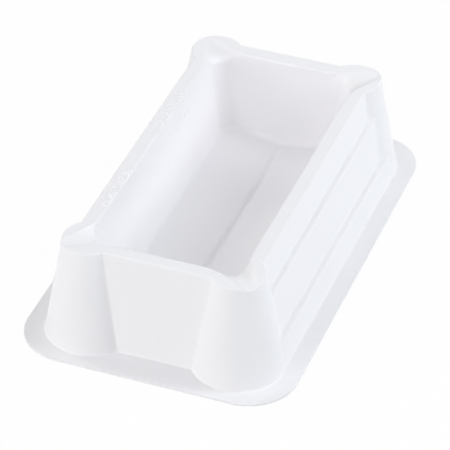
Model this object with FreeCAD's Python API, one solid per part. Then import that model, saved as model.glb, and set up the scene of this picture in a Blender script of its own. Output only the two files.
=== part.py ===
import FreeCAD
import Part
import math
import os

# Reagent reservoir: one sheet of plastic formed into a trough on legs. Sizes are in millimetres,
# angles in degrees. X runs along the trough, Y across it and Z up, and the origin is at the middle
# of the flange's underside, which is what the reservoir stands on.

vec = FreeCAD.Vector

# ---- the sheet ----
sheet = 0.6                    # thickness of the formed sheet

# ---- the mouth and the rim round it ----
height = 34.6                  # from the flange's underside to the top of the rim
mouth_length = 107.8           # opening of the trough, at the rim
mouth_width = 48.6
mouth_corner = 6.3             # radius of the trough's upright inner corners
rim_end_land = 4.9             # flat width of the rim at the two ends
rim_side_land = 4.7            # and along the two sides
rim_rounding = 0.9             # rounding of both edges of the rim

# ---- the inside of the trough ----
trough_end_draft = 5.0         # lean of the end walls
trough_side_draft = 8.9        # lean of the side walls
valley_height = 4.3            # floor surface at its lowest line, above the flange's underside
floor_slope = 8.0              # each half of the floor falls towards the valley by this angle
floor_rounding = 1.6           # rounding where the walls meet the floor
groove_width = 2.4             # shallow groove along the valley, which gathers the last drops
groove_depth = 0.6

# ---- the outer walls ----
end_draft = 5.4                # lean of the two end panels
side_draft = 9.6               # lean of the side panels
ledge_width = 1.6              # each side panel steps out by this at a ledge
ledge_heights = (24.7, 9.7)    # ledges above the flange's underside, from the top down

# ---- the four corner lobes: upright cones that carry the spouts ----
lobe_top_radius = 8.2
lobe_draft = 10.5              # half angle of the cone
lobe_end_inset = 5.4           # from the rim's end edge in to the lobe's axis
lobe_side_inset = 5.3          # from the rim's side edge in to the lobe's axis

# ---- the pour spouts, one out over each lobe ----
spout_end_reach = 8.8          # where a spout's lip leaves the mouth, from the corner along the end
spout_side_reach = 8.4         # and along the side
spout_depth = 4.5              # depth of the channel where it leaves the trough
spout_tip_width = 5.2          # between the lips where the spout runs out
spout_tip_depth = 1.3

# ---- the flange ----
flange_end_width = 4.1         # how far the flange stands out past the lobes, at the ends
flange_side_width = 5.5        # and at the sides
flange_corner = 15.5           # radius of the flange's corners
foot_rounding = 1.0            # where the walls turn out into the flange

# ---- worked out from the sizes above ----
clear = 2.0                    # how far a cutting shape runs past what it cuts
mouth_x = mouth_length / 2
mouth_y = mouth_width / 2
rim_x = mouth_x + rim_end_land
rim_y = mouth_y + rim_side_land
lobe_x = rim_x - lobe_end_inset
lobe_y = rim_y - lobe_side_inset


def lean(run, angle):
    """How far a wall that leans by angle moves sideways over an upright run."""
    return run * math.tan(math.radians(angle))


def level_width(thickness, angle):
    """Width, measured level, of a sheet that leans by angle."""
    return thickness / math.cos(math.radians(angle))


lobe_foot_radius = lobe_top_radius + lean(height - sheet, lobe_draft)
flange_x = lobe_x + lobe_foot_radius + flange_end_width
flange_y = lobe_y + lobe_foot_radius + flange_side_width


# ---- outer form: every surface can be moved in by inset, which gives the underside of the sheet ----

def wall_offset(top_offset, draft, inset, z):
    """Distance from the middle to an outer wall that starts at top_offset at the rim, at height z."""
    return top_offset + lean(height - z, draft) - level_width(inset, draft)


def foot_turn(foot_offset, draft, inset):
    """Start, middle and end of the arc that turns a wall out into the flange, as (offset, z)."""
    turn = math.radians(90 - draft)
    reach = foot_rounding * math.tan(turn / 2)
    centre_offset = foot_offset + reach
    centre_z = sheet + foot_rounding
    radius = foot_rounding + inset

    def on_arc(angle):
        return (centre_offset - radius * math.sin(angle), centre_z - radius * math.cos(angle))

    return on_arc(turn), on_arc(turn / 2), on_arc(0)


def outline(wall, turn, bottom, place):
    """Edges of an outer wall's section: down the wall, round the foot and down to the bottom."""
    start, middle, end = [place(*point) for point in turn]
    points = [place(*point) for point in wall] + [start]
    edges = [Part.makeLine(a, b) for a, b in zip(points, points[1:])]
    edges.append(Part.Arc(start, middle, end).toShape())
    edges.append(Part.makeLine(end, place(turn[2][0], bottom)))
    return edges


def face_of(edges):
    return Part.Face(Part.Wire(Part.sortEdges(edges)[0]))


def block(wall, turn, bottom, place, run):
    """Solid whose section is a wall outline and its mirror image, drawn out along run."""
    def mirrored(offset, z):
        return place(-offset, z)

    edges = outline(wall, turn, bottom, place) + outline(wall, turn, bottom, mirrored)
    edges.append(Part.makeLine(place(*wall[0]), mirrored(*wall[0])))
    edges.append(Part.makeLine(place(turn[2][0], bottom), mirrored(turn[2][0], bottom)))
    return face_of(edges).extrude(run)


def side_block(inset, bottom):
    """The body between the two stepped side panels."""
    def panel(step, z):
        return wall_offset(rim_y + step * ledge_width, side_draft, inset, z)

    top = height - inset
    wall = [(panel(0, top), top)]
    for step, ledge in enumerate(ledge_heights):
        wall.append((panel(step, ledge - inset), ledge - inset))
        wall.append((panel(step + 1, ledge - inset), ledge - inset))
    foot = wall_offset(rim_y + len(ledge_heights) * ledge_width, side_draft, 0, sheet)
    turn = foot_turn(foot, side_draft, inset)
    return block(wall, turn, bottom, lambda offset, z: vec(-lobe_x, offset, z), vec(2 * lobe_x, 0, 0))


def end_block(inset, bottom):
    """The body between the two flat end panels."""
    top = height - inset
    wall = [(wall_offset(rim_x, end_draft, inset, top), top)]
    turn = foot_turn(wall_offset(rim_x, end_draft, 0, sheet), end_draft, inset)
    return block(wall, turn, bottom, lambda offset, z: vec(offset, -lobe_y, z), vec(0, 2 * lobe_y, 0))


def lobe(inset, bottom):
    """One upright cone with its foot turned out, standing on its own axis."""
    def place(offset, z):
        return vec(offset, 0, z)

    top = height - inset
    wall = [(wall_offset(lobe_top_radius, lobe_draft, inset, top), top)]
    turn = foot_turn(lobe_foot_radius, lobe_draft, inset)
    edges = outline(wall, turn, bottom, place)
    edges.append(Part.makeLine(place(*wall[0]), place(0, top)))
    edges.append(Part.makeLine(place(0, top), place(0, bottom)))
    edges.append(Part.makeLine(place(0, bottom), place(turn[2][0], bottom)))
    return face_of(edges).revolve(vec(0, 0, 0), vec(0, 0, 1), 360)


def at_corners(shape):
    """Four copies of a shape made for the corner at +X +Y, mirrored to the other corners."""
    front = [shape, shape.mirror(vec(0, 0, 0), vec(1, 0, 0))]
    return front + [side.mirror(vec(0, 0, 0), vec(0, 1, 0)) for side in front]


def outer_form(inset, bottom):
    """Everything inside the outer walls: the two blocks and the four lobes."""
    corner_lobe = lobe(inset, bottom)
    corner_lobe.translate(vec(lobe_x, lobe_y, 0))
    parts = [end_block(inset, bottom)] + at_corners(corner_lobe)
    return side_block(inset, bottom).multiFuse(parts).removeSplitter()


def flange_plate():
    plate = Part.makeBox(2 * flange_x, 2 * flange_y, sheet, vec(-flange_x, -flange_y, 0))
    return rounded(plate, flange_corner, lambda edge: edge.BoundBox.ZLength > sheet / 2)


# ---- inside of the trough: its surface can be moved out by grow, for the sheet's other side ----

def rounded(shape, radius, wanted):
    """The shape with every edge that wanted() picks rounded to the radius."""
    return shape.makeFillet(radius, [edge for edge in shape.Edges if wanted(edge)])


def is_upright(edge):
    return edge.BoundBox.ZLength > height / 2


def joins_floor(edge):
    """An edge where a wall meets the floor, and not the valley line or the open top."""
    box = edge.BoundBox
    on_valley = max(abs(box.YMin), abs(box.YMax)) < groove_width
    return box.ZMax < height / 2 and not on_valley


def trough(grow):
    """The space that the liquid fills, open above the rim."""
    top = height + clear
    side_lean = math.tan(math.radians(trough_side_draft))
    slope = math.tan(math.radians(floor_slope))
    side = mouth_y + level_width(grow, trough_side_draft)
    valley = valley_height - level_width(grow, floor_slope)
    # the side wall y = side - (height - z) * side_lean meets the floor z = valley + y * slope here
    foot_y = (side - (height - valley) * side_lean) / (1 - side_lean * slope)
    half = [(side + (top - height) * side_lean, top), (foot_y, valley + foot_y * slope), (0, valley)]
    across = half + [(-y, z) for y, z in reversed(half[:-1])]

    end = mouth_x + level_width(grow, trough_end_draft)
    upper = end + lean(top - height, trough_end_draft)
    lower = end - lean(height, trough_end_draft)
    along = [(upper, top), (lower, 0), (-lower, 0), (-upper, top)]

    across = Part.Face(Part.makePolygon([vec(-rim_x, y, z) for y, z in across + across[:1]]))
    along = Part.Face(Part.makePolygon([vec(x, -rim_y, z) for x, z in along + along[:1]]))
    space = across.extrude(vec(2 * rim_x, 0, 0)).common(along.extrude(vec(0, 2 * rim_y, 0)))
    space = rounded(space, mouth_corner + grow, is_upright)
    return rounded(space, floor_rounding + grow, joins_floor)


def groove(grow):
    """A round-bottomed channel along the valley, from end wall to end wall."""
    half = groove_width / 2
    radius = (half ** 2 + groove_depth ** 2) / (2 * groove_depth)
    reach = mouth_x - lean(height - valley_height, trough_end_draft) - floor_rounding
    floor_beside = valley_height + half * math.tan(math.radians(floor_slope))
    centre = vec(-reach, 0, floor_beside - groove_depth + radius)
    return Part.makeCylinder(radius + grow, 2 * reach, centre, vec(1, 0, 0))


def spout(grow):
    """The channel from one corner of the mouth out over its lobe, open above the rim."""
    out = lobe_top_radius * math.sqrt(0.5)
    half_tip = spout_tip_width / 2 * math.sqrt(0.5)
    tip = vec(lobe_x + out, lobe_y + out, height)
    end_lip = [vec(mouth_x, mouth_y - spout_end_reach, height), tip + vec(half_tip, -half_tip, 0)]
    side_lip = [vec(mouth_x - spout_side_reach, mouth_y, height), tip + vec(-half_tip, half_tip, 0)]
    inside_mouth = -0.3
    past_tip = 1.4

    def section(part):
        """Closed section of the channel, part of the way from the mouth (0) to the tip (1)."""
        end_point = end_lip[0] + (end_lip[1] - end_lip[0]) * part
        side_point = side_lip[0] + (side_lip[1] - side_lip[0]) * part
        outward = (end_point - side_point).normalize() * grow
        end_point = end_point + outward
        side_point = side_point - outward
        depth = spout_depth + (spout_tip_depth - spout_depth) * part + grow
        bottom = (end_point + side_point) * 0.5 - vec(0, 0, depth)
        raised = vec(0, 0, clear)
        edges = [Part.Arc(end_point, bottom, side_point).toShape()]
        edges.append(Part.makeLine(side_point, side_point + raised))
        edges.append(Part.makeLine(side_point + raised, end_point + raised))
        edges.append(Part.makeLine(end_point + raised, end_point))
        return Part.Wire(edges)

    return Part.makeLoft([section(inside_mouth), section(past_tip)], True, True)


def inside_form(grow):
    """The trough with its groove and its four spouts."""
    return trough(grow).multiFuse([groove(grow)] + at_corners(spout(grow)))


# ---- the whole sheet ----

def reservoir():
    """The outer form less the trough, and less the open space under the sheet."""
    form = outer_form(0, 0).fuse(flange_plate()).removeSplitter().cut(inside_form(0))
    form = rounded(form, rim_rounding, lambda edge: edge.BoundBox.ZMin > height - 0.01)
    under = outer_form(sheet, -clear).cut(inside_form(sheet))
    return form.cut(under).removeSplitter()


os.makedirs("parts", exist_ok=True)
shape = reservoir()
shape.exportStep("parts/reservoir.step")
print("reservoir: solids", len(shape.Solids), "valid", shape.isValid(), "volume", round(shape.Volume))
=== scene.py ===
import math

import bmesh
import bpy
from mathutils import Matrix, Vector


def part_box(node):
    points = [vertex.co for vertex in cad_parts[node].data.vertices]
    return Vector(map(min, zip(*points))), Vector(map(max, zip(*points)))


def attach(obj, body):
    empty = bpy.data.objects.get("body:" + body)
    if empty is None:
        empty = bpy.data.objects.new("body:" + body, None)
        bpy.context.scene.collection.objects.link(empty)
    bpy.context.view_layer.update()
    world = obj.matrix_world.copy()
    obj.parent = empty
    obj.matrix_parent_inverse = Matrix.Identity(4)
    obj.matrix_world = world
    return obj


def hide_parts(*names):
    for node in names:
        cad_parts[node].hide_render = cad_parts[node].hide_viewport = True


# A reagent reservoir: one white sheet, formed into a trough that stands on a wide flange.
# The shape is worked out in millimetres for the quarter at +X +Y, and mirrored to the others.

mm = 0.001
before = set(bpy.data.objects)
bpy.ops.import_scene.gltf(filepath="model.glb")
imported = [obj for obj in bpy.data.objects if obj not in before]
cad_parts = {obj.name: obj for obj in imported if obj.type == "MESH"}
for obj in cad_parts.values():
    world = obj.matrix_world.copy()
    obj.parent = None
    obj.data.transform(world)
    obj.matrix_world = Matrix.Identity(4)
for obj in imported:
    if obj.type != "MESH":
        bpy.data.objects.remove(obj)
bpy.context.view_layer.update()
halfLength, halfWidth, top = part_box("reservoir")[1] / mm
print("frame loaded:", round(2 * halfLength, 1), round(2 * halfWidth, 1), round(top, 1))


def tangent(degrees):
    return math.tan(math.radians(degrees))


def heading(angle):
    return Vector((math.cos(angle), math.sin(angle)))


def mix(a, b, t):
    return a + (b - a) * t


def ease(t):
    t = min(1.0, max(0.0, t))
    return t * t * (3 - 2 * t)


def soft(distance, width):                      # nothing, then a straight climb, with a soft bend between
    return (distance + math.hypot(distance, width)) / 2


def finishMesh(name, mesh):                     # a bmesh in millimetres becomes an object in metres
    bmesh.ops.scale(mesh, vec=(mm, mm, mm), verts=mesh.verts)
    data = bpy.data.meshes.new(name)
    mesh.to_mesh(data)
    mesh.free()
    data.shade_smooth()
    piece = bpy.data.objects.new(name, data)
    bpy.context.scene.collection.objects.link(piece)
    return piece


# The formed sheet. A pair is for the end and the side, where no note says otherwise.

shell = {
    "sheet": 0.6,
    "flangeCorner": 15.5,
    "rimInset": (13.2, 14.7),       # from the flange's edge in to the outer walls at the rim
    "mouthInset": (18.1, 19.4),     # and in to the mouth
    "lobeInset": (18.6, 20.0),      # and in to a lobe's axis
    "endDraft": 5.4,
    "sideDraft": 9.6,
    "ledgeWidth": 1.6,
    "ledges": (24.7, 9.7),          # heights of the two ledges on a side panel
    "ledgeSpread": (0.1, 0.5),      # half its fall from inner to outer edge: on the panel, and on a lobe
    "ledgeFade": 0.85,              # the stretch of a lobe on which its edges part
    "treadRows": (0.65, 0.35),      # two more rows along a ledge, as shares of its width
    "lobeRadius": 8.2,
    "lobeDraft": 10.5,
    "lobeRows": (7.2, 5.0, 3.2),    # more rows, measured down from the rim, where a lobe's top takes shape
    "endCrease": 1.1,               # inner rounding between an end panel and a lobe
    "sideCrease": (0.9, 6.0),       # between a side panel and a lobe: at the rim, and further down
    "sideCreaseFall": 14.0,         # this far down it has grown to the second size
    "beak": 0.7,                    # the lobe's top stands out by this under the spout's tip
    "beakFall": 7.0,                # and is round again this far down
    "mouthCorner": 6.3,
    "troughEndDraft": 5.0,
    "troughSideDraft": 8.9,
    "valley": 4.3,                  # the floor's height along its middle line, beside the groove
    "floorSlope": 8.0,
    "grooveDepth": 0.9,
    "grooveReach": 0.8,             # about half its width
    "grooveEnd": (43.0, 46.6),      # it fades out between these, before the end walls
    "ridgeStart": (15.5, 45.5),     # where a spout leaves the mouth
    "ridgeEnd": (27.2, 56.1),
    "ridgeFlare": (0.50, 0.60),     # how fast the two ridges run outwards
    "ridgeBend": 1.3,
    "tipAngles": (27.6, 65.1),      # the lip's two ends, seen from the lobe's axis
    "tipRadius": 7.6,
    "tipDepth": 0.7,                # how far the lip sinks at the tip
    "tipShare": 0.3,                # and how much of that the lobe's own edge sinks
    "channelDepth": 2.4,            # the channel's bed where it leaves the trough's corner
    "channelRound": 1.7,            # higher is a flatter bed between steeper sides
    "channelFall": 2.4,             # higher is a bed that stays level for longer behind the lip
    "channelTurn": 1.45,            # how far round the trough's corner a channel's side reaches
    "mouthDepth": 3.6,              # the lip's rounding ends above this, all round the mouth
    "wallPlaces": (0.84, 0.87, 0.9, 0.92, 0.94, 0.96, 0.98),     # rows below the lip on a plain wall,
    "bedPlaces": (0.1, 0.2, 0.32, 0.45, 0.58, 0.7, 0.8),         # and the same rows on a channel's bed
    "spreadShare": 0.25,            # share of a ridge over which the rows spread out,
    "bedShare": 0.4,                # over which the bed deepens,
    "lipShare": 0.4,                # and over which the lip's rounding grows
    "spoutCrease": 0.07,            # the crease's share of a ridge,
    "flangeCrease": 0.03,           # and of the flange's edge round a corner
    "foot": 0.5,                    # rounding between the outer walls and the flange
    "ledgeRound": 0.3,
    "rimRound": 0.55,
    "lipRound": {"end": 1.2, "spout": 2.0, "side": 0.8},
    "shoulder": 4.0,                # rounding where a channel's bed turns down into the trough
    "floorRound": (2.0, 1.6),
    "floorInset": (2.8, 2.3),
    "roundSteps": {"foot": 5, "ledge": 4, "rim": 5, "lip": 6, "shoulder": 6, "floor": 5},
    "roundRoom": (0.48, 0.9),       # share of a line that a rounding may take, beside another one and alone
    "leastCut": 0.12,               # no rounding starts nearer its corner than this, where there is room
    "straight": 0.01,               # a turn below this, in radians, counts as none
    "columns": {"end": 6, "crease": 4, "lobe": 12, "tip": 8, "side": 12},     # lobe is on each side of tip
    "grooveColumns": (0, 0.25, 0.5, 0.75, 1.02, 1.35, 1.85, 2.8),   # distances from the valley on the floor
    "seam": 0.002,                  # points nearer than this become one
    "edgeBreak": 0.12,              # tiny rounding of the flange's cut edge,
    "edgeAngle": 60,                # which is the only edge that turns by more than this
}
rimX, rimY = halfLength - shell["rimInset"][0], halfWidth - shell["rimInset"][1]
mouthX, mouthY = halfLength - shell["mouthInset"][0], halfWidth - shell["mouthInset"][1]
lobeX, lobeY = halfLength - shell["lobeInset"][0], halfWidth - shell["lobeInset"][1]
lowTip, highTip = [math.radians(angle) for angle in shell["tipAngles"]]
midTip = (lowTip + highTip) / 2


# A column of the sheet is named by the part it stands on and a place t on that part. From the middle of
# the end to the middle of the side the parts are end, endCrease, lobe, sideCrease and side. On each of
# them t runs from 0 to 1, except on the lobe, where it runs to 3 and is on the spout's tip from 1 to 2.

def creaseCentre(face, across, along, radius, crease):
    # middle of the round between a panel's face and a lobe at (across, along)
    centre = face + crease
    return centre, along - math.sqrt((radius + crease) ** 2 - (centre - across) ** 2)


def outerPoint(part, t, z, step):
    # a point of the outer walls at height z; step counts the ledges passed on the side panel
    drop = top - z
    radius = shell["lobeRadius"] + drop * tangent(shell["lobeDraft"])
    endX = rimX + drop * tangent(shell["endDraft"])
    sideY = rimY + step * shell["ledgeWidth"] + drop * tangent(shell["sideDraft"])
    endCrease = shell["endCrease"]
    sideCrease = mix(*shell["sideCrease"], ease(drop / shell["sideCreaseFall"]))
    nearX, nearY = creaseCentre(endX, lobeX, lobeY, radius, endCrease)
    farY, farX = creaseCentre(sideY, lobeY, lobeX, radius, sideCrease)
    if part == "end":
        return Vector((endX, t * nearY, z))
    if part == "side":
        return Vector(((1 - t) * farX, sideY, z))
    if part == "endCrease":
        turn = mix(math.pi, math.atan2(lobeY - nearY, lobeX - nearX), t)
        return Vector((nearX, nearY, z)) + endCrease * heading(turn).to_3d()
    if part == "sideCrease":
        turn = mix(math.atan2(lobeY - farY, lobeX - farX), -math.pi / 2, t)
        return Vector((farX, farY, z)) + sideCrease * heading(turn).to_3d()
    fromEnd = math.atan2(nearY - lobeY, nearX - lobeX)
    toSide = math.atan2(farY - lobeY, farX - lobeX)
    stops = (fromEnd, lowTip, highTip, toSide)
    leg = min(2, int(t))
    angle = mix(stops[leg], stops[leg + 1], t - leg)
    aside = (angle - midTip) / (highTip - lowTip) * 2
    radius += shell["beak"] * math.exp(-aside * aside) * (1 - ease(drop / shell["beakFall"]))
    return Vector((lobeX, lobeY, z)) + radius * heading(angle).to_3d()


def footPoint(part, t):
    return outerPoint(part, t, shell["sheet"], len(shell["ledges"]))


def spoutShare(part, t):
    # how far along its ridge a spout's column is: 0 where the ridge leaves the mouth, 1 at the lip
    crease = shell["spoutCrease"]
    if part == "endCrease":
        return crease * t
    if part == "sideCrease":
        return crease * (1 - t)
    if part == "lobe":
        return mix(crease, 1, min(1.0, t, 3 - t))
    return 0


def isEndHalf(part, t):
    return part in ("end", "endCrease") or (part == "lobe" and t <= 1)


def onTip(part, t):
    return part == "lobe" and 1 < t < 2


def ridgePoint(half, along):
    # a spout has two ridges: half is 0 for the one beside the end and 1 for the one beside the side
    start, flare = shell["ridgeStart"][half], shell["ridgeFlare"][half]
    out = (mouthX, mouthY)[half] + flare * soft(along - start, shell["ridgeBend"])
    return Vector((out, along)) if half == 0 else Vector((along, out))


def acrossRidge(half):
    # a ridge's outer end, and the direction from it into the channel
    start, end = [ridgePoint(half, shell[name][half]) for name in ("ridgeStart", "ridgeEnd")]
    run = (end - start).normalized()
    return end, Vector((-run.y, run.x)) * (1 if half == 0 else -1)


ridgeSides = [acrossRidge(half) for half in (0, 1)]


def channelReach(place):
    # how far a place in plan is inside each of the two ridges
    return [max(0.0, (place - end).dot(inward)) for end, inward in ridgeSides]


tipPlace = Vector((lobeX, lobeY)) + shell["tipRadius"] * heading(midTip)
cornerPlace = Vector((mouthX, mouthY)) - Vector((1, 1)) * shell["mouthCorner"] * (1 - math.sqrt(0.5))
tipWidth, cornerWidth = [sum(channelReach(place)) for place in (tipPlace, cornerPlace)]


def channelDrop(place):
    # the channel's surface below the rim: a bed that falls towards the trough, curving up to both ridges
    a, b = channelReach(place)
    if a * b == 0:
        return 0.0
    run = max(0.0, (a + b - tipWidth) / (cornerWidth - tipWidth))
    bed = mix(shell["tipDepth"], shell["channelDepth"], run ** shell["channelFall"])
    return bed * (1 - (abs(a - b) / (a + b)) ** shell["channelRound"])


def lipPoint(part, t):
    if onTip(part, t):
        place = Vector((lobeX, lobeY)) + shell["tipRadius"] * heading(mix(lowTip, highTip, t - 1))
        return Vector((*place, top - channelDrop(place)))
    half = 0 if isEndHalf(part, t) else 1
    straight = t if part == "end" else 1 - t
    start, end = shell["ridgeStart"][half], shell["ridgeEnd"][half]
    along = start * straight if part in ("end", "side") else mix(start, end, spoutShare(part, t))
    return Vector((*ridgePoint(half, along), top))


# A place q on the trough's wall runs from 0 to 1 on the end, to 3 round the corner and to 4 on the side.

def cornerAngle(q):
    return math.radians(45 * (min(3.0, max(1.0, q)) - 1))


def roundCorner(pair, q):
    return mix(*pair, ease((q - 1) / 2))


def troughPoint(q, z):
    endX = mouthX - (top - z) * tangent(shell["troughEndDraft"])
    sideY = mouthY - (top - z) * tangent(shell["troughSideDraft"])
    corner = shell["mouthCorner"]
    if q <= 1:
        return Vector((endX, q * (sideY - corner), z))
    if q >= 3:
        return Vector(((4 - q) * (endX - corner), sideY, z))
    angle = cornerAngle(q)
    return Vector((endX - corner + corner * math.cos(angle), sideY - corner + corner * math.sin(angle), z))


def troughPlace(part, t):
    # the place q at which a column meets the trough's wall
    startEnd = shell["ridgeStart"][0] / (mouthY - shell["mouthCorner"])
    startSide = 4 - shell["ridgeStart"][1] / (mouthX - shell["mouthCorner"])
    turn = shell["channelTurn"]
    if part == "end":
        return startEnd * t
    if part == "side":
        return mix(startSide, 4, t)
    if onTip(part, t):
        return mix(turn, 4 - turn, t - 1)
    if isEndHalf(part, t):
        return mix(startEnd, turn, spoutShare(part, t))
    return mix(startSide, 4 - turn, spoutShare(part, t))


def floorHeight(x, y):
    start, end = shell["grooveEnd"]
    groove = shell["grooveDepth"] * math.exp(-(y / shell["grooveReach"]) ** 2)
    groove *= 1 - ease((x - start) / (end - start))
    return shell["valley"] + abs(y) * tangent(shell["floorSlope"]) - groove


def floorFoot(q):
    # where the trough's wall would meet the floor with no rounding, found in a few rounds
    rounds = 12
    z = shell["valley"]
    for _ in range(rounds):
        z = floorHeight(*troughPoint(q, z).xy)
    return troughPoint(q, z)


def floorStart(q):
    # the floor's own edge, a little inside the foot of the wall
    foot = floorFoot(q)
    angle = cornerAngle(q)
    inset = roundCorner(shell["floorInset"], q)
    x = foot.x - inset * math.cos(angle)
    y = foot.y - inset * math.sin(angle)
    return Vector((x, y, floorHeight(x, y)))


def flangePoint(part, t):
    # the flange's outer edge: straight along the end, round the corner, straight along the side
    sheet = shell["sheet"]
    corner = shell["flangeCorner"]
    if part == "end":
        return Vector((halfLength, footPoint(part, t).y, sheet))
    if part == "side":
        return Vector((footPoint(part, t).x, halfWidth, sheet))
    start = footPoint("end", 1).y
    finish = footPoint("side", 0).x
    lengths = [halfWidth - corner - start, corner * math.pi / 2, halfLength - corner - finish]
    crease = shell["flangeCrease"]
    share = {"endCrease": crease * t, "sideCrease": 1 - crease * (1 - t),
             "lobe": mix(crease, 1 - crease, t / 3)}[part]
    run = share * sum(lengths)
    if run < lengths[0]:
        return Vector((halfLength, start + run, sheet))
    run -= lengths[0]
    if run < lengths[1]:
        centre = Vector((halfLength - corner, halfWidth - corner, sheet))
        return centre + corner * heading(run / corner).to_3d()
    return Vector((halfLength - corner - (run - lengths[1]), halfWidth, sheet))


def roundedPath(stops):
    # stops are (point, radius, steps); a stop with no radius stays a single point
    beside, alone = shell["roundRoom"]
    points = []
    for i, (point, radius, steps) in enumerate(stops):
        if not radius:
            points.append(point)
            continue
        inward, outward = point - stops[i - 1][0], stops[i + 1][0] - point
        turn = inward.angle(outward)
        room = min(inward.length * (beside if stops[i - 1][1] else alone),
                   outward.length * (beside if stops[i + 1][1] else alone))
        cut = min(max(radius * math.tan(turn / 2), shell["leastCut"]), room)
        inward.normalize()
        outward.normalize()
        start = point - inward * cut
        if turn < shell["straight"]:
            points += [start.lerp(point + outward * cut, k / steps) for k in range(steps + 1)]
            continue
        bend = cut / math.tan(turn / 2)
        side = (outward - inward * math.cos(turn)) / math.sin(turn)
        for k in range(steps + 1):
            angle = turn * k / steps
            points.append(start + bend * (math.sin(angle) * inward + (1 - math.cos(angle)) * side))
    return points


def ledgeStops(part, t, step):
    # outer edge, tread and inner edge of one ledge, which dies out on the lobe
    height = shell["ledges"][step]
    slope, parting = shell["ledgeSpread"]
    fade = min(1.0, (3 - t) / shell["ledgeFade"]) if part == "lobe" else 1
    spread = slope if part in ("side", "sideCrease") else slope * (parting / slope) ** fade
    stops = []
    for share in (1, *shell["treadRows"], 0):
        point = outerPoint(part, t, height + spread * (1 - 2 * share), step + share)
        stops.append((point, shell["ledgeRound"] if share in (0, 1) else 0, shell["roundSteps"]["ledge"]))
    return stops


def bedStops(part, t, lip, q):
    # the channel's bed from the lip to the corner where it turns down into the trough's wall
    share = 1 if onTip(part, t) else spoutShare(part, t)
    isBed = ease(share / shell["bedShare"])
    drop = channelDrop(troughPoint(q, top).xy)
    corner = troughPoint(q, top - mix(shell["mouthDepth"], drop, isBed))
    stops = []
    for straight, curved in zip(shell["wallPlaces"], shell["bedPlaces"]):
        point = lip.lerp(corner, mix(straight, curved, ease(share / shell["spreadShare"])))
        point.z = mix(point.z, top - channelDrop(point.xy), isBed)
        stops.append((point, 0, 0))
    stops.append((corner, shell["shoulder"], shell["roundSteps"]["shoulder"]))
    return stops


def lipRounding(part, t):
    rounds = shell["lipRound"]
    ends = rounds["end"] if isEndHalf(part, t) else rounds["side"]
    return mix(ends, rounds["spout"], ease(spoutShare(part, t) / shell["lipShare"]))


def profile(part, t):
    # one column of the sheet, from the flange's edge over the rim and down to the floor
    steps = shell["roundSteps"]
    q = troughPlace(part, t)
    lip = lipPoint(part, t)
    rimEdge = outerPoint(part, t, mix(top, lip.z, shell["tipShare"]), 0)
    stops = [(flangePoint(part, t), 0, 0), (footPoint(part, t), shell["foot"], steps["foot"])]
    for step in (1, 0):
        stops += ledgeStops(part, t, step)
    stops += [(outerPoint(part, t, top - down, 0), 0, 0) for down in shell["lobeRows"]]
    stops.append((rimEdge, shell["rimRound"], steps["rim"]))
    stops.append((lip, lipRounding(part, t), steps["lip"]))
    stops += bedStops(part, t, lip, q)
    stops.append((floorFoot(q), roundCorner(shell["floorRound"], q), steps["floor"]))
    stops.append((floorStart(q), 0, 0))
    return roundedPath(stops)


def columnsOn(part, count, start=0):
    return [(part, start + (k + 1) / count) for k in range(count)]


def columnPlaces():
    counts = shell["columns"]
    floorEnd = floorFoot(troughPlace("end", 1)).y
    last = shell["grooveColumns"][-1]
    rest = [mix(last, floorEnd, (k + 1) / counts["end"]) for k in range(counts["end"])]
    places = [("end", y / floorEnd) for y in [*shell["grooveColumns"], *rest]]
    places += columnsOn("endCrease", counts["crease"])
    for leg, name in enumerate(("lobe", "tip", "lobe")):
        places += columnsOn("lobe", counts[name], leg)
    places += columnsOn("sideCrease", counts["crease"])
    places += columnsOn("side", counts["side"])
    return places


def formGrid(mesh, across, along, place):
    # a flat grid whose corners are moved to place(column, row)
    made = bmesh.ops.create_grid(mesh, x_segments=across, y_segments=along, size=0.5)["verts"]
    for vert in made:
        vert.co = place(round((vert.co.x + 0.5) * across), round((vert.co.y + 0.5) * along))


def formFloor(mesh, ends, sides):
    # a grid between the walls' last row, which is cut at the corner's middle, and the two middle lines
    def floorPoint(i, j):
        x = sides[j].x / sides[0].x * ends[i].x
        y = ends[i].y / ends[-1].y * sides[j].y
        return Vector((x, y, floorHeight(x, y)))

    formGrid(mesh, len(ends) - 1, len(sides) - 1, floorPoint)


def mirrorQuarter(mesh):
    bmesh.ops.remove_doubles(mesh, verts=mesh.verts, dist=shell["seam"])
    for axis in "XY":
        everything = mesh.verts[:] + mesh.edges[:] + mesh.faces[:]
        bmesh.ops.mirror(mesh, geom=everything, axis=axis, merge_dist=shell["seam"])
    bmesh.ops.remove_doubles(mesh, verts=mesh.verts, dist=shell["seam"])
    bmesh.ops.recalc_face_normals(mesh, faces=mesh.faces)
    flange = max(mesh.faces, key=lambda face: face.calc_center_median().x)
    if flange.normal.z < 0:                     # the sheet's upper face has to look up
        bmesh.ops.reverse_faces(mesh, faces=mesh.faces)


def makeShell():
    places = columnPlaces()
    profiles = [profile(*place) for place in places]
    border = [line[-1] for line in profiles]
    corner = places.index(("lobe", 1.5))        # the middle of the spout's tip
    mesh = bmesh.new()
    formGrid(mesh, len(profiles) - 1, len(profiles[0]) - 1, lambda i, j: profiles[i][j])
    formFloor(mesh, border[:corner + 1], border[corner:])
    mirrorQuarter(mesh)
    piece = finishMesh("reservoirShell", mesh)
    wall = piece.modifiers.new("wall", "SOLIDIFY")
    wall.thickness = shell["sheet"] * mm
    wall.offset = -1
    wall.use_even_offset = True
    edge = piece.modifiers.new("edge", "BEVEL")
    edge.width = shell["edgeBreak"] * mm
    edge.segments = 2
    edge.limit_method = "ANGLE"
    edge.angle_limit = math.radians(shell["edgeAngle"])
    piece.modifiers.new("normals", "WEIGHTED_NORMAL")
    return piece


reservoir = makeShell()
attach(reservoir, "root")
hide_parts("reservoir")
print("shell formed:", len(reservoir.data.polygons), "faces")


# Raised ticks, on the rim and the wall of one long side.

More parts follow.
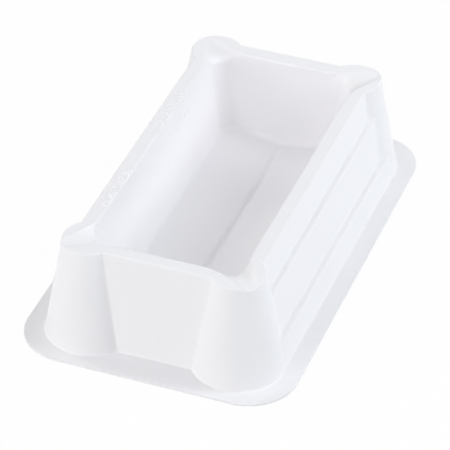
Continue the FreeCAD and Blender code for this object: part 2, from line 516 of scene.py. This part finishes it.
ticks = {
    "pitch": 2.4,
    "rounding": 0.2,
    "rimSize": (0.7, 2.5, 0.6),     # along the rim, across it, and through the sheet's face
    "rimProud": 0.35,               # how far it stands up
    "rimRuns": ((-37.0, -17.8), (5.0, 26.6)),
    "rimInset": 1.5,                # from the mouth's edge out to the middle of a tick
    "wallSize": (0.9, 2.0, 0.6),
    "wallProud": 0.1,
    "wallRun": (11.8, 28.6),
    "wallDrop": 6.2,                # from the rim down to the middle of a tick on the wall
}


def addTick(mesh, size, proud, centre, tilt):
    # a bar that lies flat, or leans with a wall whose face is turned by tilt
    before = set(mesh.verts)
    made = bmesh.ops.create_cube(mesh, size=1)["verts"]
    bmesh.ops.scale(mesh, vec=size, verts=made)
    edges = list({edge for vert in made for edge in vert.link_edges})
    bmesh.ops.bevel(mesh, geom=edges, offset=ticks["rounding"], segments=3, profile=0.5,
                    affect="EDGES", material=-1)
    sink = Vector((0, 0, proud - size[2] / 2))
    turn = Matrix.Rotation(tilt, 3, "X")
    for vert in set(mesh.verts) - before:
        vert.co = centre + turn @ (vert.co + sink)


def tickPlaces(run):
    count = round((run[1] - run[0]) / ticks["pitch"])
    return [mix(*run, k / count) for k in range(count + 1)]


def makeTicks():
    mesh = bmesh.new()
    for run in ticks["rimRuns"]:
        for x in tickPlaces(run):
            centre = Vector((x, mouthY + ticks["rimInset"], top))
            addTick(mesh, ticks["rimSize"], ticks["rimProud"], centre, 0)
    drop = ticks["wallDrop"]
    wallY = mouthY - drop * tangent(shell["troughSideDraft"])
    lean = math.radians(90 - shell["troughSideDraft"])
    for x in tickPlaces(ticks["wallRun"]):
        addTick(mesh, ticks["wallSize"], ticks["wallProud"], Vector((x, wallY, top - drop)), lean)
    return finishMesh("rimTicks", mesh)


marks = makeTicks()
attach(marks, "root")
print("ticks made:", len(marks.data.polygons), "faces")


class Wire:
    # one output of a node; sums, differences and products of wires add their Math nodes
    def __init__(self, graph, socket):
        self.graph = graph
        self.socket = socket

    def maths(self, operation, first, second):
        return self.graph.node("ShaderNodeMath", {"operation": operation}, {0: first, 1: second})

    def __add__(self, other):
        return self.maths("ADD", self, other)

    def __sub__(self, other):
        return self.maths("SUBTRACT", self, other)

    def __rsub__(self, other):
        return self.maths("SUBTRACT", other, self)

    def __mul__(self, other):
        return self.maths("MULTIPLY", self, other)

    __radd__ = __add__
    __rmul__ = __mul__


class Graph:
    # the nodes of a material, or of the world
    def __init__(self, owner):
        owner.use_nodes = True
        self.owner = owner
        self.tree = owner.node_tree
        self.tree.nodes.clear()

    def node(self, kind, settings=None, inputs=None, output=0):
        made = self.tree.nodes.new(kind)
        for name, value in (settings or {}).items():
            setattr(made, name, value)
        for name, value in (inputs or {}).items():
            if isinstance(value, Wire):
                self.tree.links.new(value.socket, made.inputs[name])
            else:
                made.inputs[name].default_value = value
        return Wire(self, made.outputs[output]) if made.outputs else None

    def finish(self, surface):
        isWorld = isinstance(self.owner, bpy.types.World)
        self.node("ShaderNodeOutputWorld" if isWorld else "ShaderNodeOutputMaterial",
                  inputs={"Surface": surface})
        return self.owner


# A Mix node's sockets share their names, so the ones for colours go by number.
mixFrom, mixTo, mixResult = 6, 7, 2

# The white plastic: the colour and the gloss change slowly over it, like clouds, and its face has a faint
# ripple and a fine grain. Each of the three patterns has a scale and a detail, and a bump has a strength
# and a height in metres.

sheetLook = {
    "light": (0.966, 0.952, 0.964, 1),
    "deep": (0.942, 0.926, 0.946, 1),
    "roughness": 0.34,
    "roughnessSwing": 0.10,
    "refraction": 1.5,
    "clouds": (28.0, 3.0),
    "ripple": (85.0, 1.0),
    "grain": (950.0, 2.0),
    "rippleBump": (0.25, 0.0004),
    "grainBump": (0.12, 0.0001),
}


def sheetMaterial():
    g = Graph(bpy.data.materials.new("whiteSheet"))
    place = g.node("ShaderNodeTexCoord", output="Object")

    def noise(name):
        scale, detail = sheetLook[name]
        return g.node("ShaderNodeTexNoise", inputs={"Vector": place, "Scale": scale, "Detail": detail})

    def bump(name, pattern, normal=None):
        strength, height = sheetLook[name]
        inputs = {"Height": pattern, "Strength": strength, "Distance": height}
        if normal:
            inputs["Normal"] = normal
        return g.node("ShaderNodeBump", inputs=inputs)

    clouds = noise("clouds")
    colour = g.node("ShaderNodeMix", {"data_type": "RGBA"},
                    {"Factor": clouds, mixFrom: sheetLook["deep"], mixTo: sheetLook["light"]}, mixResult)
    roughness = sheetLook["roughness"] + sheetLook["roughnessSwing"] * (clouds - 0.5)
    rippled = bump("rippleBump", noise("ripple"))
    grained = bump("grainBump", noise("grain"), rippled)
    return g.finish(g.node("ShaderNodeBsdfPrincipled", inputs={
        "Base Color": colour, "Roughness": roughness, "Normal": grained, "IOR": sheetLook["refraction"]}))


whiteSheet = sheetMaterial()
for piece in (reservoir, marks):
    piece.data.materials.append(whiteSheet)
print("materials made")


# The floor, the light and the camera, in metres and watts where no note says otherwise.

studio = {
    "floorSize": 6.0,
    "floorGap": 0.00005,             # the floor lies this far below the flange
    "floorColour": (0.80, 0.80, 0.80, 1),
    "whiteShare": 0.975,             # how white the floor is where the camera sees it
    "world": 0.0,                    # the world's strength as a light; where it is seen, it is white
    "aim": (2.87, 1.80, 4.95),       # millimetres
    "azimuth": -69.34,
    "elevation": 37.36,
    "distance": 0.9285,
    "lens": 235.24,                  # millimetres
}
aim = Vector(studio["aim"]) * mm

softboxes = {
    "distance": 0.9,
    "width": 0.35,
    "heights": {9: 0.14, 26: 0.3, 44: 0.3, 64: 0.35},      # by elevation: the low ones clear the floor
    "tints": {"right": (0.925, 0.968, 1.0), "front": (0.985, 0.995, 1.0), "left": (1.0, 1.0, 1.0)},
    "watts": {                       # by azimuth, counted from the camera's, and elevation
        "right": {
            (135, 26): 0.8, (90, 26): 1.6, (90, 44): 1.2, (90, 64): 1.0,
            (67.5, 26): 0.9, (67.5, 44): 0.5, (22.5, 26): 0.8,
        },
        "front": {(-22.5, 26): 0.8, (-45, 44): 1.6, (-45, 9): 1.0},
        "left": {(-67.5, 26): 1.0, (-90, 9): 0.6, (-135, 44): 1.6, (-180, 26): 0.4},
    },
}


def direction(azimuth, elevation):
    a, e = math.radians(azimuth), math.radians(elevation)
    return Vector((math.sin(a) * math.cos(e), -math.cos(a) * math.cos(e), math.sin(e)))


def aimed(thing, azimuth, elevation, distance):
    back = direction(azimuth, elevation)
    thing.location = aim + back * distance
    thing.rotation_mode = "QUATERNION"
    thing.rotation_quaternion = (-back).to_track_quat("-Z", "Y")
    bpy.context.scene.collection.objects.link(thing)
    return thing


def seenDirectly(g):
    # 1 for what is looked at, also in a gloss or through a clear thing, and 0 for light on other things
    rays = ("Is Camera Ray", "Is Glossy Ray", "Is Transmission Ray")
    plain, gloss, clear = [g.node("ShaderNodeLightPath", output=ray) for ray in rays]
    return plain + gloss + clear


def makeFloor():
    mesh = bmesh.new()
    bmesh.ops.create_grid(mesh, x_segments=1, y_segments=1, size=studio["floorSize"] / 2 / mm)
    floor = finishMesh("floor", mesh)
    floor.location.z = -studio["floorGap"]
    g = Graph(bpy.data.materials.new("floorPaper"))
    paper = g.node("ShaderNodeBsdfDiffuse", inputs={"Color": studio["floorColour"]})
    white = g.node("ShaderNodeEmission", inputs={"Color": (1, 1, 1, 1), "Strength": 1.0})
    share = studio["whiteShare"] * seenDirectly(g)
    surface = g.node("ShaderNodeMixShader", inputs={0: share, 1: paper, 2: white})
    floor.data.materials.append(g.finish(surface))


def makeWorld():
    world = bpy.data.worlds.new("studio")
    bpy.context.scene.world = world
    g = Graph(world)
    strength = g.node("ShaderNodeMix", inputs={"Factor": seenDirectly(g), "A": studio["world"], "B": 1.0})
    g.finish(g.node("ShaderNodeBackground", inputs={"Color": (1, 1, 1, 1), "Strength": strength}))


def makeSoftboxes():
    for side, row in softboxes["watts"].items():
        for (azimuth, elevation), watts in row.items():
            lamp = bpy.data.lights.new(f"{side}Softbox", "AREA")
            lamp.shape = "RECTANGLE"
            lamp.size = softboxes["width"]
            lamp.size_y = softboxes["heights"][elevation]
            lamp.energy = watts
            lamp.color = softboxes["tints"][side]
            softbox = bpy.data.objects.new(lamp.name, lamp)
            aimed(softbox, studio["azimuth"] + azimuth, elevation, softboxes["distance"])


def makeCamera():
    camera = bpy.data.cameras.new("camera")
    camera.lens = studio["lens"]
    eye = bpy.data.objects.new("camera", camera)
    aimed(eye, studio["azimuth"], studio["elevation"], studio["distance"])
    bpy.context.scene.camera = eye


makeFloor()
makeWorld()
makeSoftboxes()
makeCamera()
bpy.context.scene.view_settings.view_transform = "Standard"
print("studio set")
